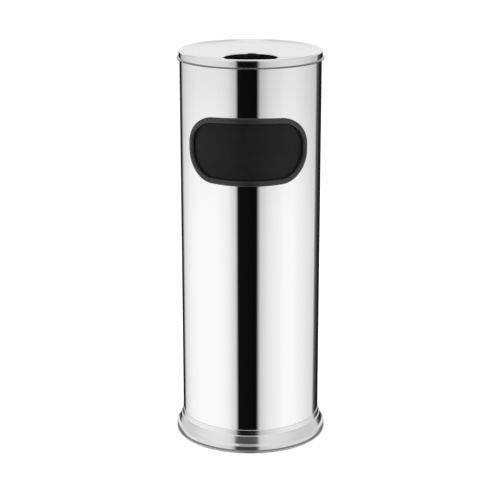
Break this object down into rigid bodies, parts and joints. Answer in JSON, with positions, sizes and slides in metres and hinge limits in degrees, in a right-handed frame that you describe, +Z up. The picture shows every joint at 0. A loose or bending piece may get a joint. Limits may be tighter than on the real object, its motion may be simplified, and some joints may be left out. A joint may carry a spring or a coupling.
{
  "type": "ashtray bin",
  "caption": "Round free-standing polished steel ashtray bin with a dished lid over an ash pan, a black push flap for litter and a lift-out liner.",
  "frame": {"origin": "middle of the footprint, on the floor under the rubber foot", "axes": "+Z up along the body's axis, the litter flap faces -Y, +X to the right seen from the front"},
  "size_m": [0.232, 0.232, 0.6],
  "materials": {
    "polished_steel": "mirror-polished stainless steel sheet",
    "galvanised_steel": "galvanised sheet, dull spangle",
    "pan_steel": "plain stainless, smoke-dulled",
    "fastener_steel": "zinc-plated",
    "black_plastic": "satin black moulding",
    "flap_plastic": "fine-textured black moulding",
    "retainer_plastic": "plain black moulding",
    "grip_plastic": "ribbed black sleeve",
    "foot_rubber": "extruded rubber channel"
  },
  "bodies": {
    "body": {"body_shell": "polished_steel", "base_ring": "polished_steel", "foot_ring": "foot_rubber", "floor_plate": "galvanised_steel", "floor_rivets": "fastener_steel", "liner_guides": "galvanised_steel", "aperture_surround": "black_plastic", "surround_retainer": "retainer_plastic", "surround_screws": "fastener_steel", "hinge_rod": "fastener_steel", "hinge_clips": "fastener_steel"},
    "flap": {"flap_panel": "flap_plastic"},
    "liner": {"liner_bucket": "galvanised_steel", "liner_floor": "galvanised_steel", "bail_ears": "galvanised_steel", "ear_rivets": "fastener_steel"},
    "bail": {"bail_wire": "fastener_steel", "bail_grip": "grip_plastic"},
    "pan": {"ash_pan": "pan_steel"},
    "lid": {"lid_cap": "polished_steel"}
  },
  "joints": [
    {"name": "flap_hinge", "type": "hinge", "parent": "body", "child": "flap", "pos_m": [0, -0.0935, 0.515], "axis": [1, 0, 0], "range_deg": [0, 55]},
    {"name": "liner_lift", "type": "slide", "parent": "body", "child": "liner", "axis": [0, 0, 1], "range_m": [0, 0.6]},
    {"name": "bail_hinge", "type": "hinge", "parent": "liner", "child": "bail", "pos_m": [0, 0, 0.4046], "axis": [1, 0, 0], "range_deg": [0, 90]},
    {"name": "pan_lift", "type": "slide", "parent": "liner", "child": "pan", "axis": [0, 0, 1], "range_m": [0, 0.12]},
    {"name": "lid_lift", "type": "slide", "parent": "pan", "child": "lid", "axis": [0, 0, 1], "range_m": [0, 0.12]}
  ]
}
